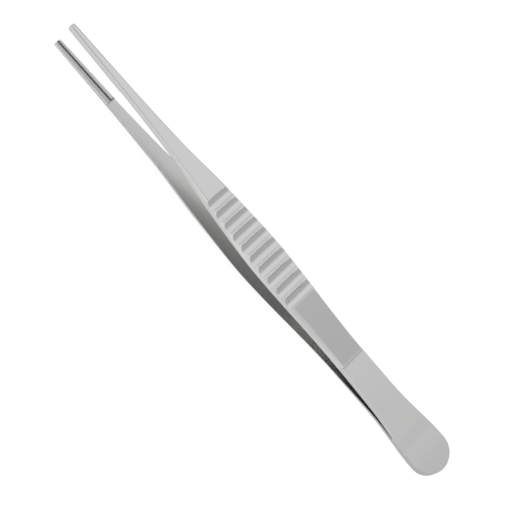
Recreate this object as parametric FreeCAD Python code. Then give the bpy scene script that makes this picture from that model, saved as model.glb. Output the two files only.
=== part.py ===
"""Thumb forceps with fluted grips and fine toothed jaws.

Two sprung arms are welded face to face at the tail and stand open at the jaws.
The upper arm ends in a jaw with one toothed ridge between two channels. The lower arm's
jaw carries two toothed rows, which seat in those channels when the arms are pressed together.

The pair is drawn with X from the tips to the tail, Y across the arms and the weld in the
plane Z = 0. At the end it is laid down as it comes to rest on the back of the lower arm,
with the middle of its outline over the origin and its lowest point at Z = 0.
"""
import FreeCAD, Part
import math
import os
from FreeCAD import Vector

# The pair as a whole, in millimetres
overall_length = 150.0
weld_length = 15.2
flat_tail_length = 10.0

# Widths of an arm's inner face
jaw_tip_width = 2.15
jaw_heel_width = 2.95
blade_width = 4.7
shoulder_width = 9.0
grip_width = 11.5
neck_width = 9.6
spring_width = 9.9
tail_width = 12.8
tail_end_length = 5.7

# Places along the arm, from the tips
jaw_length = 20.8
blade_at = 39.9
shoulder_at = 59.6
grip_at = 78.8
neck_at = 109.7
step_at = 112.4
spring_at = 125.4

# Gaps between the arms, standing open
tip_opening = 9.3
heel_opening = 8.4
blade_gap = 8.0
shoulder_gap = 6.5
grip_gap = 5.4
step_gap = 2.4
spring_gap = 1.2
weld_gap = 0.3

# Thicknesses of an arm
jaw_thickness = 1.4
blade_thickness = 1.3
shoulder_thickness = 1.8
grip_thickness = 1.65
land_thickness = 1.4
spring_thickness = 0.85
tail_thickness = 1.0
step_foot_radius = 0.35

# How far the sides lean in from the inner face to the outer face
jaw_side_run = 0.75
blade_side_run = 0.4
grip_side_run = 1.35
land_side_run = 0.85
spring_side_run = 0.4

# Fullness of the sides: 0 is a flat bevel, 1 a quarter round
jaw_fullness = 0.9
grip_fullness = 0.3
spring_fullness = 0.8

# Flutes across the grips
flute_count = 10
flute_pitch = 3.55
flute_depth = 0.8
flute_crest = 0.12
flutes_from_tip = 56.7

# Toothed jaws
pad_step = 0.2
ridge_width = 0.45
channel_width = 0.55
channel_depth = 0.38
channel_runout = 0.4
row_height = 0.32
row_side_clearance = 0.04
row_groove_depth = 0.35
tooth_pitch = 0.5
tooth_depth = 0.2
tooth_crest = 0.1
toothless_end = 0.35
tip_corner_radius = 0.8
tip_back_radius = 1.2

# Working allowances of the drawing
section_spacing = 4.0
trim_margin = 0.5
clear_of_all = 20.0
settle_detail = 0.05

# Places and sizes that follow from those above
weld_at = overall_length - weld_length
flat_at = overall_length - flat_tail_length
tail_at = overall_length - tail_width / 2
jaw_lean = math.atan2((tip_opening - heel_opening) / 2, jaw_length)
flute_chord = flute_pitch - flute_crest
flute_radius = (flute_chord ** 2 / 4 + flute_depth ** 2) / (2 * flute_depth)
row_width = channel_width - 2 * row_side_clearance
land_foot_width = neck_width - 2 * land_side_run

half_width = [
    (0, jaw_tip_width / 2),
    (jaw_length, jaw_heel_width / 2),
    (blade_at, blade_width / 2),
    (shoulder_at, shoulder_width / 2),
    (grip_at, grip_width / 2),
    (neck_at, neck_width / 2),
    (spring_at, spring_width / 2),
    (tail_at, tail_width / 2),
    (overall_length, tail_width / 2),
]
half_gap = [
    (0, tip_opening / 2),
    (jaw_length, heel_opening / 2 + pad_step),
    (blade_at, blade_gap / 2),
    (shoulder_at, shoulder_gap / 2),
    (grip_at, grip_gap / 2),
    (step_at, step_gap / 2),
    (spring_at, spring_gap / 2),
    (weld_at, weld_gap / 2),
    (flat_at, 0),
    (overall_length, 0),
]
front = {
    "thickness": [
        (0, jaw_thickness),
        (blade_at, blade_thickness),
        (shoulder_at, shoulder_thickness),
        (grip_at, grip_thickness),
        (step_at, land_thickness),
    ],
    "side_run": [
        (0, jaw_side_run),
        (blade_at, blade_side_run),
        (grip_at, grip_side_run),
        (step_at, land_side_run),
    ],
    "fullness": [(jaw_length, jaw_fullness), (grip_at, grip_fullness)],
}
rear = {
    "thickness": [(step_at, spring_thickness), (flat_at, tail_thickness)],
    "side_run": [(step_at, spring_side_run), (flat_at, 0)],
    "fullness": [(step_at, spring_fullness), (flat_at, spring_fullness)],
}


def level_slope(before, after):
    """Slope at a station, from the rises on its two sides: none at a high or low point."""
    if before * after <= 0:
        return 0.0
    return 2 * before * after / (before + after)


def along(stations, x):
    """Value at x of a smooth curve through the stations, level before and after them."""
    places = [place for place, value in stations]
    values = [value for place, value in stations]
    if x <= places[0]:
        return values[0]
    if x >= places[-1]:
        return values[-1]
    rises = [(v1 - v0) / (p1 - p0) for p0, p1, v0, v1 in zip(places, places[1:], values, values[1:])]
    inner = [level_slope(before, after) for before, after in zip(rises, rises[1:])]
    slopes = [rises[0]] + inner + [rises[-1]]
    span = max(i for i, place in enumerate(places) if place <= x)
    width = places[span + 1] - places[span]
    t = (x - places[span]) / width
    return (
        values[span] * (1 + 2 * t) * (1 - t) ** 2
        + slopes[span] * width * t * (1 - t) ** 2
        + values[span + 1] * t * t * (3 - 2 * t)
        + slopes[span + 1] * width * t * t * (t - 1)
    )


def side_curve(x, part):
    """The three poles (y, z) of an arm's side at x, from under the inner face to the outer face."""
    foot_z = along(half_gap, x) - trim_margin
    thickness = along(part["thickness"], x)
    top_z = foot_z + trim_margin + thickness
    run = along(part["side_run"], x)
    fullness = along(part["fullness"], x)
    foot_y = along(half_width, x) + (1 - fullness) * run * trim_margin / thickness
    top_y = along(half_width, x) - run
    middle_y = (foot_y + top_y) / 2
    middle_z = (foot_z + top_z) / 2
    pole = (middle_y + fullness * (foot_y - middle_y), middle_z + fullness * (top_z - middle_z))
    return [(foot_y, foot_z), pole, (top_y, top_z)]


def bezier_edge(poles):
    curve = Part.BezierCurve()
    curve.setPoles(poles)
    return curve.toShape()


def section(x, part):
    """Closed outline of an arm square to X: inner face, side, outer face, side."""
    right = [Vector(x, y, z) for y, z in side_curve(x, part)]
    left = [Vector(x, -y, z) for y, z in reversed(side_curve(x, part))]
    edges = [
        Part.makeLine(left[-1], right[0]),
        bezier_edge(right),
        Part.makeLine(right[-1], left[0]),
        bezier_edge(left),
    ]
    return Part.Wire(edges)


def places_between(start, end):
    """Evenly spaced places along the arm, both ends among them."""
    spans = math.ceil((end - start) / section_spacing)
    return [start + (end - start) * i / spans for i in range(spans + 1)]


def arm_length(places, part):
    """Solid stretch of an arm, lofted through its sections at the places."""
    return Part.makeLoft([section(x, part) for x in places], True, False)


def jaw_blank():
    """The jaw before its teeth, straight from tip to heel."""
    return arm_length([0, jaw_length], front)


def step_foot():
    """What leads the step at the grip's end down to the thinner spring in a hollow curve."""
    r = step_foot_radius
    dip = r * (1 - math.sqrt(0.5))
    y = land_foot_width / 2
    outline = Part.Wire([
        Part.Arc(Vector(0, -y, r), Vector(dip, -y, dip), Vector(r, -y, 0)).toShape(),
        Part.makeLine(Vector(r, -y, 0), Vector(0, -y, -r)),
        Part.makeLine(Vector(0, -y, -r), Vector(0, -y, r)),
    ])
    bar = Part.Face(outline).extrude(Vector(0, 2 * y, 0))
    fall = along(half_gap, step_at) - along(half_gap, step_at + r)
    bar.rotate(Vector(0, 0, 0), Vector(0, 1, 0), math.degrees(math.atan2(fall, r)))
    bar.translate(Vector(step_at, 0, along(half_gap, step_at) + spring_thickness))
    return bar


def tail_edge(side):
    """Long edge of the tail in plan: side is 1 or -1."""
    curve = Part.BSplineCurve()
    places = places_between(flat_at, overall_length)
    curve.interpolate([Vector(x, side * along(half_width, x), -trim_margin) for x in places])
    return curve


def tail_plate():
    """The flat welded tail, square-edged, its end half an oval in plan."""
    right = tail_edge(1)
    left = tail_edge(-1)
    outline = Part.Wire([
        right.toShape(),
        Part.makeLine(right.EndPoint, left.EndPoint),
        left.toShape(),
        Part.makeLine(left.StartPoint, right.StartPoint),
    ])
    plate = Part.Face(outline).extrude(Vector(0, 0, trim_margin + tail_thickness))
    centre = Vector(overall_length - tail_end_length, 0, -clear_of_all)
    blank = block(centre.x, overall_length + 1, -clear_of_all, clear_of_all, -clear_of_all, clear_of_all)
    side_end = centre + Vector(0, tail_width / 2, 0)
    tail_end = centre + Vector(tail_end_length, 0, 0)
    oval = Part.Face(Part.Wire(Part.Ellipse(side_end, tail_end, centre).toShape()))
    return plate.cut(blank.cut(oval.extrude(Vector(0, 0, 2 * clear_of_all))))


def inner_space():
    """All that lies inside an upper arm's inner face: the gap, and what is under the weld plane."""
    heel = Vector(jaw_length, 0, heel_opening / 2)
    front_edge = Vector(-clear_of_all, 0, heel.z + (jaw_length + clear_of_all) * math.tan(jaw_lean))
    blade_start = jaw_length + pad_step
    curve = Part.BSplineCurve()
    curve.interpolate([Vector(x, 0, along(half_gap, x)) for x in places_between(blade_start, weld_at)])
    behind = Vector(overall_length + clear_of_all, 0, 0)
    corners = [behind, behind - Vector(0, 0, clear_of_all), front_edge - Vector(0, 0, 2 * clear_of_all)]
    edges = [
        Part.makeLine(front_edge, heel),
        Part.makeLine(heel, curve.StartPoint),
        curve.toShape(),
        Part.makeLine(curve.EndPoint, Vector(weld_at, 0, 0)),
        Part.makeLine(Vector(weld_at, 0, 0), behind),
        Part.makeLine(corners[0], corners[1]),
        Part.makeLine(corners[1], corners[2]),
        Part.makeLine(corners[2], front_edge),
    ]
    face = Part.Face(Part.Wire(edges))
    face.translate(Vector(0, -clear_of_all, 0))
    return face.extrude(Vector(0, 2 * clear_of_all, 0))


def outer_height(x):
    return along(half_gap, x) + along(front["thickness"], x)


def flutes():
    """Cylindrical scoops across the outer face of the grip."""
    scoops = []
    for i in range(flute_count):
        x = flutes_from_tip + (i + 0.5) * flute_pitch
        rise = outer_height(x + flute_pitch / 2) - outer_height(x - flute_pitch / 2)
        lean = math.atan2(rise, flute_pitch)
        lift = flute_radius - flute_depth
        axis = Vector(x - lift * math.sin(lean), -clear_of_all, outer_height(x) + lift * math.cos(lean))
        scoops.append(Part.makeCylinder(flute_radius, 2 * clear_of_all, axis, Vector(0, 1, 0)))
    return scoops


def on_closing_plane(shape):
    """Carry a shape drawn on the plane z = 0, tips at x = 0, to the upper jaw's closing plane."""
    shape.rotate(Vector(0, 0, 0), Vector(0, 1, 0), math.degrees(jaw_lean))
    shape.translate(Vector(0, 0, tip_opening / 2))
    return shape


def block(x0, x1, y0, y1, z0, z1):
    return Part.makeBox(x1 - x0, y1 - y0, z1 - z0, Vector(x0, y0, z0))


def channels():
    """The two channels beside the upper jaw's ridge, open at the tip."""
    near = ridge_width / 2
    far = near + channel_width
    end = jaw_length + channel_runout
    sides = [(near, far), (-far, -near)]
    return [block(-1, end, y0, y1, -1, channel_depth) for y0, y1 in sides]


def tooth_notches(y0, y1, crest_z):
    """V notches that leave teeth of even pitch, with their crests at height crest_z."""
    count = math.floor((jaw_length - 2 * toothless_end) / tooth_pitch)
    start = (jaw_length - count * tooth_pitch) / 2
    half_mouth = (tooth_pitch - tooth_crest) / 2
    over = 1 + 0.2 / tooth_depth
    notches = []
    for i in range(count):
        x = start + (i + 0.5) * tooth_pitch
        root = Vector(x, y0, crest_z + tooth_depth)
        mouth_z = root.z - tooth_depth * over
        corners = [
            root,
            Vector(x + half_mouth * over, y0, mouth_z),
            Vector(x - half_mouth * over, y0, mouth_z),
            root,
        ]
        notches.append(Part.Face(Part.makePolygon(corners)).extrude(Vector(0, y1 - y0, 0)))
    return notches


def toothed_rows():
    """The two rows of teeth that stand proud of a closing plane, still joined across the middle."""
    outer = ridge_width / 2 + row_side_clearance + row_width
    rows = block(0, jaw_length, -outer, outer, -row_height, jaw_thickness / 2)
    return rows.cut(tooth_notches(-outer - row_side_clearance, outer + row_side_clearance, -row_height))


def row_groove():
    """The groove that parts the two rows and takes the other jaw's ridge."""
    half = ridge_width / 2 + row_side_clearance
    return block(-1, jaw_length, -half, half, -1, row_groove_depth)


def spandrel(radius, length):
    """What rounding an edge takes off: the edge is the Z axis, and the arm lies at +X and +Y."""
    outline = Part.Wire([
        Part.makeLine(Vector(-1, -1, 0), Vector(radius, -1, 0)),
        Part.makeLine(Vector(radius, -1, 0), Vector(radius, 0, 0)),
        Part.Arc(
            Vector(radius, 0, 0),
            Vector(radius * (1 - math.sqrt(0.5)), radius * (1 - math.sqrt(0.5)), 0),
            Vector(0, radius, 0),
        ).toShape(),
        Part.makeLine(Vector(0, radius, 0), Vector(-1, radius, 0)),
        Part.makeLine(Vector(-1, radius, 0), Vector(-1, -1, 0)),
    ])
    bar = Part.Face(outline).extrude(Vector(0, 0, length))
    bar.translate(Vector(0, 0, -length / 2))
    return bar


def tip_rounding():
    """The cuts that round the tip's two corners in plan and its back edge."""
    corner = spandrel(tip_corner_radius, clear_of_all)
    corner.translate(Vector(0, -jaw_tip_width / 2, tip_opening / 2))
    other = corner.mirror(Vector(0, 0, 0), Vector(0, 1, 0))
    back = spandrel(tip_back_radius, clear_of_all)
    back.rotate(Vector(0, 0, 0), Vector(1, 0, 0), -90)
    back.translate(Vector(0, 0, tip_opening / 2 + jaw_thickness))
    return [corner, other, back]


def plain_arm():
    """The upper arm without its jaw's teeth."""
    grip = arm_length(places_between(jaw_length, step_at), front)
    spring_places = places_between(step_at, weld_at) + places_between(weld_at, flat_at)[1:]
    spring = arm_length(spring_places, rear)
    whole = jaw_blank().fuse([grip, step_foot(), spring, tail_plate()])
    return whole.cut(flutes() + [inner_space()])


def ridged_jaw(arm):
    """Cut the channels and the ridge's teeth into the upper arm's jaw."""
    cuts = channels() + tooth_notches(-ridge_width / 2 - channel_width / 2, ridge_width / 2 + channel_width / 2, 0)
    return arm.cut([on_closing_plane(cut) for cut in cuts] + tip_rounding()).Solids[0]


def rowed_jaw(arm):
    """Stand the two toothed rows on the other jaw, drawn as an upper arm."""
    cuts = [on_closing_plane(row_groove())] + tip_rounding()
    return arm.fuse(on_closing_plane(toothed_rows())).cut(cuts).Solids[0]


def resting_turn(lower, both):
    """Angle about Y that lays the lower arm's back on a level surface under the pair's weight."""
    mass = sum(arm.Volume for arm in both)
    balance = sum(arm.Volume * arm.CenterOfMass.x for arm in both) / mass
    points = sorted((p.x, p.z) for p in lower.tessellate(settle_detail)[0])
    hull = []
    for x, z in points:
        while len(hull) > 1:
            (x0, z0), (x1, z1) = hull[-2], hull[-1]
            if (x1 - x0) * (z - z0) - (z1 - z0) * (x - x0) > 0:
                break
            hull.pop()
        hull.append((x, z))
    for (x0, z0), (x1, z1) in zip(hull, hull[1:]):
        if x0 <= balance <= x1:
            return math.degrees(math.atan2(z1 - z0, x1 - x0))
    return 0.0


def lay_down(upper, lower):
    """Turn both arms to rest and bring the middle of their footprint to the origin."""
    turn = resting_turn(lower, [upper, lower])
    for arm in (upper, lower):
        arm.rotate(Vector(0, 0, 0), Vector(0, 1, 0), turn)
    box = Part.Compound([upper, lower]).optimalBoundingBox(False)
    shift = Vector(-box.Center.x, -box.Center.y, -box.ZMin)
    for arm in (upper, lower):
        arm.translate(shift)
    return upper, lower


def main():
    upper = ridged_jaw(plain_arm())
    lower = rowed_jaw(plain_arm()).mirror(Vector(0, 0, 0), Vector(0, 0, 1)).Solids[0]
    upper, lower = lay_down(upper, lower)
    os.makedirs("parts", exist_ok=True)
    for name, arm in (("upper_arm", upper), ("lower_arm", lower)):
        print(name, arm.isValid(), "solids", len(arm.Solids), "faces", len(arm.Faces), "mm3", round(arm.Volume, 1))
        arm.exportStep("parts/" + name + ".step")


main()
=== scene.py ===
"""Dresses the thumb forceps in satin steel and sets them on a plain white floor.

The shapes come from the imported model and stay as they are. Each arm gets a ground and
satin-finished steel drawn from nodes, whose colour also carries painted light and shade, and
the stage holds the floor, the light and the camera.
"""
import math

import bmesh
import bpy
from bpy.props import FloatProperty, FloatVectorProperty, PointerProperty
from mathutils import Matrix, Vector

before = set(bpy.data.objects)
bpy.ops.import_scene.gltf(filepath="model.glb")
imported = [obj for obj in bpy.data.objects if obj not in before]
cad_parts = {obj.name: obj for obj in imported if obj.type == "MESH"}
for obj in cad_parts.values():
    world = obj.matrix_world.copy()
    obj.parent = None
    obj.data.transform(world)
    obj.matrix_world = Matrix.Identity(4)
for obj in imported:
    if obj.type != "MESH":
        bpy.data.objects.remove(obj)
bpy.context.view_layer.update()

bl_info = {
    "name": "Thumb forceps",
    "version": (1, 0, 0),
    "blender": (4, 5, 0),
    "location": "View3D > Sidebar > Forceps",
    "description": "Satin steel, floor, light and camera for a pair of thumb forceps",
    "category": "Object",
}

MM = 0.001

# Places in millimetres along the forceps, from their middle towards the tail, and across an
# arm. Two numbers are the start and end of a change. Three are the start and end of a
# stretch, and the width over which it fades at both.
JAW_END = (-54.6, -54.2)
# JAW_HEEL, HEEL_ACROSS and GROOVE_ACROSS place painted shade lines at the jaw's heel and in its
# groove.
JAW_HEEL = (-54.5, -54.2, 0.15)
HEEL_ACROSS = (-1.2, 0.8)
GROOVE_ACROSS = (-0.2, 0.2, 0.06)
BLADE_END = (-18.2, -17.6)
FLUTES = (-17.9, 16.8, 0.3)
LAND = (17.0, 37.0, 0.4)
# LAND_END, SPRING, TAIL_ROUND, OPEN_GAP and CLOSING_GAP place the painted light and shade.
LAND_END = (36.0, 38.0)
SPRING = (39.0, 60.0, 3.0)
TAIL_ROUND = (66.0, 73.0)
OPEN_GAP = (22.0, 30.0, 6.0)
CLOSING_GAP = (34.0, 44.0)

# Cosines between a normal and the axis that a face, a side or the like looks along, in the
# same twos and threes.
FACE = (0.80, 0.96)
SIDE = (0.75, 0.90)
# CORNER and OUTER_HALF place the painted shade along the corners.
CORNER = (0.30, 0.65, 0.15)
OFF_SIDE = (0.15, 0.35)
OUTER_HALF = (-0.3, 0.0)

# Cosines between the true normal and the one rounded over, which fall towards a corner.
BROKEN_EDGE = (0.95, 0.999)
WORN_WIDTH = (0.97, 0.999)

# Openness at which a recess gets its full painted shade and at which it gets none, where 1 is
# the open.
OPENNESS = (0.30, 0.75)

# Spots of the noises, in metres along, across and through an arm, and their detail.
CLOUD_SIZE = (14 * MM, 6 * MM, 6 * MM)
SPECKLE_SIZE = (0.25 * MM,) * 3
RAGGED_SIZE = (0.5 * MM,) * 3
GRAIN_DETAIL = 3.0
SPOT_DETAIL = 2.0
NOISE_ROUGHNESS = 0.6
NOISE_MIDDLE = 0.5

# Wear of a flute's ragged crest, where least and where most, and of the teeth, and how much
# of the bright colour shows where the wear is 1. The bright colour is partly real wear and
# partly a painted highlight on the crests and a painted glint on the teeth.
RAGGED_NOISE = (-0.12, 0.05)
CREST_WEAR_AND_HIGHLIGHT = (0.5, 1.1)
TOOTH_WEAR_AND_GLINT = 0.8
POLISH_AND_HIGHLIGHT_SHARE = 0.9

# How much lighter each mark makes the bare steel, as a share of its colour. Clouds, grain and
# speckle are the steel's random tone; the rest is painted light and shade: painted light on the
# sides before the land's end and painted shade on them behind it, a painted sheen on the
# spring, painted shade round the tail, painted light where the gap between the arms is open
# and painted shade where it closes.
TONE_AND_PAINTED_LIGHT = {
    "clouds": 0.02, "grain": 0.02, "speckle": 0.012, "side": 0.08, "painted spring side shade": -0.152,
    "spring": 0.07, "painted tail shade": -0.05, "painted gap light": 0.18, "painted gap shade": -0.24,
}
# How much rougher each mark makes the steel.
ROUGHER = {
    "clouds": 0.05, "grain": 0.10, "worn and highlighted": -0.05, "shaded recess": 0.10, "inner": 0.08, "land": 0.06,
}

BEVEL_SAMPLES = 6
RECESS_SAMPLES = 6

# The floor's paint, the share of its glow that the steel mirrors, and how far the glow
# makes up for the grey of the true light.
FLOOR_PAINT = (0.97, 0.97, 0.97, 1)
MIRRORED_GLOW = 0.25
GLOW_MAKE_UP = 0.4
WHITE = (1, 1, 1, 1)

# The sides of the room, as parts of a direction along X, towards the tail, and along Y, away
# from the camera.
NEAR = (-0.6, 0.0)
FAR = (0.72, 0.95)
TOWARD_TAIL = (0.08, 0.40)
TOWARD_JAWS = (-0.85, -0.35)

SENSOR_WIDTH = 36.0
CLIP_START = 0.01


# Shader drawing

class Sum:
    """An output socket that can stand in a sum; each operation adds its Math node."""

    def __init__(self, drawing, socket):
        self.drawing = drawing
        self.socket = socket

    def __add__(self, other):
        return self.drawing.math("ADD", self, other)

    def __radd__(self, other):
        return self.drawing.math("ADD", other, self)

    def __sub__(self, other):
        return self.drawing.math("SUBTRACT", self, other)

    def __rsub__(self, other):
        return self.drawing.math("SUBTRACT", other, self)

    def __mul__(self, other):
        return self.drawing.math("MULTIPLY", self, other)

    def __rmul__(self, other):
        return self.drawing.math("MULTIPLY", other, self)

    def __truediv__(self, other):
        return self.drawing.math("DIVIDE", self, other)

    def __rtruediv__(self, other):
        return self.drawing.math("DIVIDE", other, self)


class Drawing:
    """A node tree while its nodes are laid out."""

    def __init__(self, tree):
        self.tree = tree
        tree.nodes.clear()

    def node(self, kind, settings=None, sockets=None, out=0):
        """Add a node: its settings first, then the values or links of its sockets."""
        made = self.tree.nodes.new(kind)
        for name, value in (settings or {}).items():
            setattr(made, name, value)
        for name, value in (sockets or {}).items():
            if isinstance(value, Sum):
                self.tree.links.new(value.socket, made.inputs[name])
            else:
                made.inputs[name].default_value = value
        return Sum(self, made.outputs[out]) if made.outputs else made

    def math(self, operation, *values):
        return self.node("ShaderNodeMath", {"operation": operation}, dict(enumerate(values)))

    def vector_math(self, operation, sockets, out=0):
        return self.node("ShaderNodeVectorMath", {"operation": operation}, sockets, out)

    def part(self, vector, axis):
        """A vector's part along X, Y or Z."""
        return self.node("ShaderNodeSeparateXYZ", {}, {"Vector": vector}, axis)

    def rise(self, value, start, end):
        """0 before start, 1 after end, with a smooth rise between them."""
        sockets = {"Value": value, "From Min": start, "From Max": end}
        return self.node("ShaderNodeMapRange", {"interpolation_type": "SMOOTHSTEP"}, sockets)

    def fall(self, value, start, end):
        """1 before start, 0 after end, with a smooth fall between them."""
        return self.rise(value, end, start)

    def stretch(self, value, start, end, fade):
        """1 between start and end, 0 outside, faded at both."""
        return self.rise(value, start - fade, start) - self.rise(value, end, end + fade)

    def blend(self, share, low, high):
        """Number that goes from low to high as share goes from 0 to 1."""
        return self.node("ShaderNodeMix", {"data_type": "FLOAT"}, {0: share, 2: low, 3: high})

    def mix(self, share, low, high):
        """Colour that goes from low to high as share goes from 0 to 1."""
        ends = [end if isinstance(end, Sum) else (*end, 1) for end in (low, high)]
        sockets = {0: share, 6: ends[0], 7: ends[1]}
        return self.node("ShaderNodeMix", {"data_type": "RGBA"}, sockets, 2)


# Sizes and colours that can be changed

class ForcepsSteel(bpy.types.PropertyGroup):
    """Finish of the two arms."""

    colour: FloatVectorProperty(
        name="Steel", description="Colour of the bare steel",
        subtype="COLOR", size=3, min=0, max=1, default=(0.625, 0.625, 0.62))
    # Colour of the painted shade deep in teeth, groove and corners.
    recess_shade: FloatVectorProperty(
        name="Recesses", description="Colour of the steel deep in teeth, groove and corners",
        subtype="COLOR", size=3, min=0, max=1, default=(0.22, 0.22, 0.215))
    # Partly worn steel, partly a painted highlight on the flute crests and a painted glint on
    # the teeth.
    polish_and_highlight: FloatVectorProperty(
        name="Worn crests", description="Colour of the worn, bright crests of flutes and teeth",
        subtype="COLOR", size=3, min=0, max=1, default=(0.95, 0.95, 0.945))
    # Colour of the painted shade along the corners of jaws and blades.
    edge: FloatVectorProperty(
        name="Corner lines", description="Colour of the dull corners of jaws and blades",
        subtype="COLOR", size=3, min=0, max=1, default=(0.41, 0.41, 0.405))
    inner: FloatVectorProperty(
        name="Inner faces", description="Colour of the duller ground faces between the arms",
        subtype="COLOR", size=3, min=0, max=1, default=(0.57, 0.57, 0.565))
    land: FloatVectorProperty(
        name="Lands", description="Colour of the coarser ground lands behind the flutes",
        subtype="COLOR", size=3, min=0, max=1, default=(0.53, 0.53, 0.53))
    roughness: FloatProperty(
        name="Roughness", description="Roughness of the satin finish",
        subtype="FACTOR", min=0, max=1, default=0.28)
    grain_width: FloatProperty(
        name="Grain width", description="Width of one grinding line",
        unit="LENGTH", default=0.07 * MM)
    grain_length: FloatProperty(
        name="Grain length", description="Length of one grinding line",
        unit="LENGTH", default=2.5 * MM)
    grain_depth: FloatProperty(
        name="Grain depth", description="Height of the grinding lines",
        unit="LENGTH", default=0.0012 * MM)
    edge_radius: FloatProperty(
        name="Broken edge", description="How far the tumbled edges are rounded over",
        unit="LENGTH", default=0.2 * MM)
    wear_radius: FloatProperty(
        name="Worn width", description="How far wear shows from a crest or a corner",
        unit="LENGTH", default=0.35 * MM)
    # Width of the widest recess that gets painted shade.
    recess_width: FloatProperty(
        name="Recess width", description="Width of the widest recess that holds soil",
        unit="LENGTH", default=0.6 * MM)


class ForcepsStage(bpy.types.PropertyGroup):
    """Floor, light and camera."""

    floor_size: FloatProperty(
        name="Floor", description="Length of the floor's side",
        unit="LENGTH", default=6.0)
    overhead: FloatProperty(
        name="Overhead light", description="Light from above", min=0, default=1.0)
    front: FloatProperty(
        name="Front light", description="Light from in front of the near sides",
        min=0, default=1.08)
    back: FloatProperty(
        name="Back light", description="Light from low behind the far sides",
        min=0, default=0.72)
    jaw_side: FloatProperty(
        name="Jaws' side", description="Light from beyond the jaws", min=0, default=0.8)
    tail_side: FloatProperty(
        name="Tail's side", description="Light from beyond the tail", min=0, default=0.6)
    shadow: FloatProperty(
        name="Shadow", description="Share of the floor's true light that is seen",
        subtype="FACTOR", min=0, max=1, default=0.14)
    distance: FloatProperty(
        name="Camera distance", description="From the middle of the view to the camera",
        unit="LENGTH", default=0.48971)
    elevation: FloatProperty(
        name="Camera elevation", description="Angle above the horizon",
        subtype="ANGLE", default=math.radians(57.158))
    azimuth: FloatProperty(
        name="Camera azimuth", description="Angle round the forceps from square to the arms",
        subtype="ANGLE", default=math.radians(-2.231))
    roll: FloatProperty(
        name="Camera roll", description="Turn of the picture about its middle",
        subtype="ANGLE", default=math.radians(49.410))
    target: FloatVectorProperty(
        name="Middle of the view", description="Point that the camera looks at",
        subtype="TRANSLATION", unit="LENGTH", size=3,
        default=(0.001052, 0.004185, -0.002392))
    picture_width: FloatProperty(
        name="Width of the view", description="What the view takes in at the middle of the view",
        unit="LENGTH", default=0.13518)


# The steel

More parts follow.
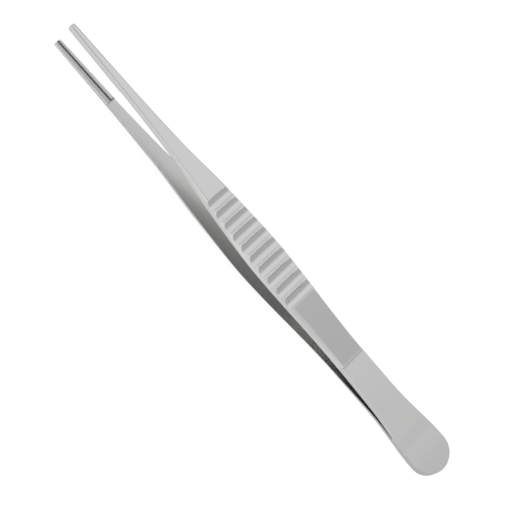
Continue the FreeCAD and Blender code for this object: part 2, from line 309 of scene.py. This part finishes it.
class ArmSteel(Drawing):
    """The steel of one arm while its nodes are laid out.

    inward is 1 where the arm's inner face looks up, or else -1. The marks say what shows at
    each spot of the arm: each is a share from 0 to 1 or so, or a noise around 0.
    """

    def __init__(self, tree, steel, inward):
        super().__init__(tree)
        self.steel = steel
        self.inward = inward
        self.point = self.node("ShaderNodeTexCoord", {}, {}, "Object")
        self.along = self.part(self.point, "X") / MM
        self.flutes = self.stretch(self.along, *FLUTES)
        self.jaw = self.fall(self.along, *JAW_END)
        self.rounded = self.bevelled(steel.edge_radius)
        self.marks = {}
        self.mark_grinding()
        self.mark_faces()
        self.mark_edges()
        self.mark_recess_shade()

    def mark_grinding(self):
        """Clouds, speckle and grinding lines, which run across the arm in the flutes."""
        length, width = self.steel.grain_length, self.steel.grain_width
        lengthways = self.noise((length, width, width), GRAIN_DETAIL)
        crossways = self.noise((width, length, width), GRAIN_DETAIL)
        self.marks["grain"] = self.blend(self.flutes, lengthways, crossways)
        self.marks["clouds"] = self.noise(CLOUD_SIZE, SPOT_DETAIL)
        self.marks["speckle"] = self.noise(SPECKLE_SIZE, SPOT_DETAIL)

    def mark_faces(self):
        """The inner faces, the land, and the stretches of painted light and shade."""
        normal = self.node("ShaderNodeTexCoord", {}, {}, "Normal")
        facing = self.part(normal, "Z") * self.inward
        inner = self.rise(facing, *FACE)
        self.marks["inner"] = inner
        self.marks["land"] = self.stretch(self.along, *LAND) * self.rise(facing * -1, *FACE)
        # Painted sheen on the spring and painted shade round the tail, on the outer faces;
        # painted light in the open gap and painted shade where it closes, on the inner faces.
        self.marks["spring"] = self.stretch(self.along, *SPRING) * (1 - inner)
        self.marks["painted tail shade"] = self.rise(self.along, *TAIL_ROUND) * (1 - inner)
        self.marks["painted gap light"] = self.stretch(self.along, *OPEN_GAP) * inner
        self.marks["painted gap shade"] = self.rise(self.along, *CLOSING_GAP) * inner

    def mark_edges(self):
        """The sides' painted light and shade, the worn crests of flutes and teeth with their
        painted highlight, and the painted shade along the corners.
        """
        wide = self.bevelled(self.steel.wear_radius)
        near_corner = self.fall(self.straightness(wide), *WORN_WIDTH)
        at_edge = self.fall(self.straightness(self.rounded), *BROKEN_EDGE)
        sideways = self.math("ABSOLUTE", self.part(wide, "Y"))

        ragged = self.rise(self.noise(RAGGED_SIZE, SPOT_DETAIL), *RAGGED_NOISE)
        # Wear on the crests and teeth, brightened further as a painted highlight and glint.
        crest = near_corner * self.flutes * self.fall(sideways, *OFF_SIDE)
        crest = crest * self.blend(ragged, *CREST_WEAR_AND_HIGHLIGHT)
        self.marks["worn and highlighted"] = crest + at_edge * self.jaw * TOOTH_WEAR_AND_GLINT

        # Painted shade along the corners of jaws and blades, on the arm's outer half.
        corner = self.math("MAXIMUM", near_corner, self.stretch(sideways, *CORNER))
        corner = corner * self.fall(self.part(wide, "Z") * self.inward, *OUTER_HALF)
        self.marks["corner"] = corner * self.fall(self.along, *BLADE_END)

        # Painted light on the sides before the land's end, and painted shade on them behind it.
        side = self.rise(sideways, *SIDE)
        self.marks["side"] = side
        self.marks["painted spring side shade"] = side * self.rise(self.along, *LAND_END)

    def mark_recess_shade(self):
        """Painted shade in the recesses, at the heel of the jaw, and in the lower jaw's groove.
        """
        across = self.part(self.point, "Y") / MM
        heel = self.stretch(self.along, *JAW_HEEL) * self.rise(across, *HEEL_ACROSS)
        groove = self.stretch(across, *GROOVE_ACROSS) * self.jaw * max(self.inward, 0)
        shade_lines = self.math("MAXIMUM", heel, groove) * self.marks["inner"]
        openness = self.node(
            "ShaderNodeAmbientOcclusion", {"samples": RECESS_SAMPLES, "only_local": True},
            {"Distance": self.steel.recess_width}, "AO")
        self.marks["shaded recess"] = self.math("MAXIMUM", self.fall(openness, *OPENNESS), shade_lines)

    def bevelled(self, radius):
        """The normal, as if the edges were rounded to the radius."""
        return self.node("ShaderNodeBevel", {"samples": BEVEL_SAMPLES}, {"Radius": radius})

    def straightness(self, bevelled):
        """Cosine between the true normal and a bevelled one."""
        true_normal = self.node("ShaderNodeNewGeometry", {}, {}, "Normal")
        return self.vector_math("DOT_PRODUCT", {0: true_normal, 1: bevelled}, "Value")

    def noise(self, size, detail):
        """Even noise around 0 with spots of the given size along each axis, in metres."""
        scale = tuple(1 / s for s in size)
        place = self.node("ShaderNodeMapping", {}, {"Vector": self.point, "Scale": scale})
        return self.node("ShaderNodeTexNoise", {}, {
            "Vector": place, "Scale": 1.0, "Detail": detail,
            "Roughness": NOISE_ROUGHNESS}) - NOISE_MIDDLE

    def weighed(self, weights):
        """Sum of the marks that have a weight, each times its weight."""
        return sum(self.marks[name] * weight for name, weight in weights.items())

    def tint(self):
        steel, marks = self.steel, self.marks
        ground = self.mix(marks["inner"], steel.colour, steel.inner)
        ground = self.mix(marks["land"], ground, steel.land)
        # Random tone of the steel, with the painted light and shade of the stretches and sides.
        lightness = 1 + self.weighed(TONE_AND_PAINTED_LIGHT)
        bare = self.vector_math("SCALE", {0: ground, "Scale": lightness})
        # Painted shade along the corners.
        edged = self.mix(marks["corner"], bare, steel.edge)
        # Worn crests and teeth, lightened partly by wear and partly as a painted highlight and
        # glint.
        edged = self.mix(marks["worn and highlighted"] * POLISH_AND_HIGHLIGHT_SHARE, edged, steel.polish_and_highlight)
        # Painted shade in recesses, at the jaw's heel and in the groove.
        return self.mix(marks["shaded recess"], edged, steel.recess_shade)


def steel_material(name, steel, inward):
    """Ground satin steel; inward is 1 where the arm's inner face looks up, or else -1."""
    material = bpy.data.materials.new(name)
    material.use_nodes = True
    d = ArmSteel(material.node_tree, steel, inward)
    normal = d.node("ShaderNodeBump", {}, {
        "Strength": 1.0, "Distance": steel.grain_depth,
        "Height": d.marks["grain"], "Normal": d.rounded})
    surface = d.node("ShaderNodeBsdfPrincipled", {}, {
        "Base Color": d.tint(), "Metallic": 1.0,
        "Roughness": steel.roughness + d.weighed(ROUGHER), "Normal": normal})
    d.node("ShaderNodeOutputMaterial", {}, {"Surface": surface})
    return material


def dress(node, material):
    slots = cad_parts[node].data.materials
    slots.clear()
    slots.append(material)


class FORCEPS_OT_upper_arm(bpy.types.Operator):
    """Finish the upper arm in ground satin steel"""
    bl_idname = "forceps.upper_arm"
    bl_label = "Upper arm"

    def execute(self, context):
        steel = context.scene.forceps_steel
        dress("upper_arm", steel_material("satin steel, upper arm", steel, -1))
        return {"FINISHED"}


class FORCEPS_OT_lower_arm(bpy.types.Operator):
    """Finish the lower arm in ground satin steel"""
    bl_idname = "forceps.lower_arm"
    bl_label = "Lower arm"

    def execute(self, context):
        steel = context.scene.forceps_steel
        dress("lower_arm", steel_material("satin steel, lower arm", steel, 1))
        return {"FINISHED"}


# The stage

def floor_material(shadow):
    """White to the camera, with part of the shadow that falls on it, and pale in the steel."""
    material = bpy.data.materials.new("white floor")
    material.use_nodes = True
    d = Drawing(material.node_tree)
    seen = d.node("ShaderNodeLightPath", {}, {}, "Is Camera Ray")
    mirrored = d.node("ShaderNodeLightPath", {}, {}, "Is Glossy Ray")
    share = seen * (1 - shadow) + mirrored * MIRRORED_GLOW
    paint = d.node("ShaderNodeBsdfDiffuse", {}, {"Color": FLOOR_PAINT})
    strength = 1 + GLOW_MAKE_UP * shadow
    glow = d.node("ShaderNodeEmission", {}, {"Color": WHITE, "Strength": strength})
    surface = d.node("ShaderNodeMixShader", {}, {0: share, 1: paint, 2: glow})
    d.node("ShaderNodeOutputMaterial", {}, {"Surface": surface})
    return material


def lay_floor(stage):
    mesh = bpy.data.meshes.new("floor")
    shape = bmesh.new()
    bmesh.ops.create_grid(shape, x_segments=1, y_segments=1, size=stage.floor_size / 2)
    shape.to_mesh(mesh)
    shape.free()
    mesh.materials.append(floor_material(stage.shadow))
    floor = bpy.data.objects.new("floor", mesh)
    bpy.context.scene.collection.objects.link(floor)


def light_room(stage):
    """A white room that is brightest in front and above, and dimmest beyond the tail."""
    world = bpy.data.worlds.new("soft room")
    world.use_nodes = True
    bpy.context.scene.world = world
    d = Drawing(world.node_tree)
    direction = d.node("ShaderNodeTexCoord", {}, {}, "Generated")
    x, y = d.part(direction, "X"), d.part(direction, "Y")
    light = d.blend(d.fall(y, *NEAR), stage.overhead, stage.front)
    light = d.blend(d.rise(y, *FAR), light, stage.back)
    light = d.blend(d.fall(x, *TOWARD_JAWS), light, stage.jaw_side)
    light = d.blend(d.rise(x, *TOWARD_TAIL), light, stage.tail_side)
    seen = d.node("ShaderNodeLightPath", {}, {}, "Is Camera Ray")
    strength = d.blend(seen, light, 1.0)
    room = d.node("ShaderNodeBackground", {}, {"Color": WHITE, "Strength": strength})
    d.node("ShaderNodeOutputWorld", {}, {"Surface": room})


def place_camera(stage):
    """Aim the camera at the middle of the view, from the stage's distance and angles."""
    a, e = stage.azimuth, stage.elevation
    back = Vector((math.sin(a) * math.cos(e), -math.cos(a) * math.cos(e), math.sin(e)))
    right = Vector((math.cos(a), math.sin(a), 0))
    turn = Matrix((right, back.cross(right), back)).transposed().to_4x4()
    lens = bpy.data.cameras.new("camera")
    lens.sensor_width = SENSOR_WIDTH
    lens.lens = SENSOR_WIDTH * stage.distance / stage.picture_width
    lens.clip_start = CLIP_START
    camera = bpy.data.objects.new("camera", lens)
    place = Matrix.Translation(Vector(stage.target) + stage.distance * back)
    camera.matrix_world = place @ turn @ Matrix.Rotation(stage.roll, 4, "Z")
    bpy.context.scene.collection.objects.link(camera)
    bpy.context.scene.camera = camera


class FORCEPS_OT_stage(bpy.types.Operator):
    """Lay the floor, light the room and place the camera"""
    bl_idname = "forceps.stage"
    bl_label = "Floor, light and camera"

    def execute(self, context):
        stage = context.scene.forceps_stage
        lay_floor(stage)
        light_room(stage)
        place_camera(stage)
        context.scene.view_settings.view_transform = "Standard"
        return {"FINISHED"}


class FORCEPS_PT_panel(bpy.types.Panel):
    """Lists the forceps' pieces and their stage."""
    bl_label = "Thumb forceps"
    bl_idname = "FORCEPS_PT_panel"
    bl_space_type = "VIEW_3D"
    bl_region_type = "UI"
    bl_category = "Forceps"

    def draw(self, context):
        column = self.layout.column()
        for operator in OPERATORS:
            column.operator(operator.bl_idname)
        for group in (context.scene.forceps_steel, context.scene.forceps_stage):
            for name in group.bl_rna.properties.keys():
                if name not in ("rna_type", "name"):
                    column.prop(group, name)


OPERATORS = (FORCEPS_OT_upper_arm, FORCEPS_OT_lower_arm, FORCEPS_OT_stage)
CLASSES = (ForcepsSteel, ForcepsStage) + OPERATORS + (FORCEPS_PT_panel,)


def register():
    for cls in CLASSES:
        bpy.utils.register_class(cls)
    bpy.types.Scene.forceps_steel = PointerProperty(type=ForcepsSteel)
    bpy.types.Scene.forceps_stage = PointerProperty(type=ForcepsStage)


def unregister():
    del bpy.types.Scene.forceps_stage
    del bpy.types.Scene.forceps_steel
    for cls in reversed(CLASSES):
        bpy.utils.unregister_class(cls)


def main():
    register()
    bpy.ops.forceps.upper_arm()
    bpy.ops.forceps.lower_arm()
    bpy.ops.forceps.stage()


if __name__ == "__main__":
    main()
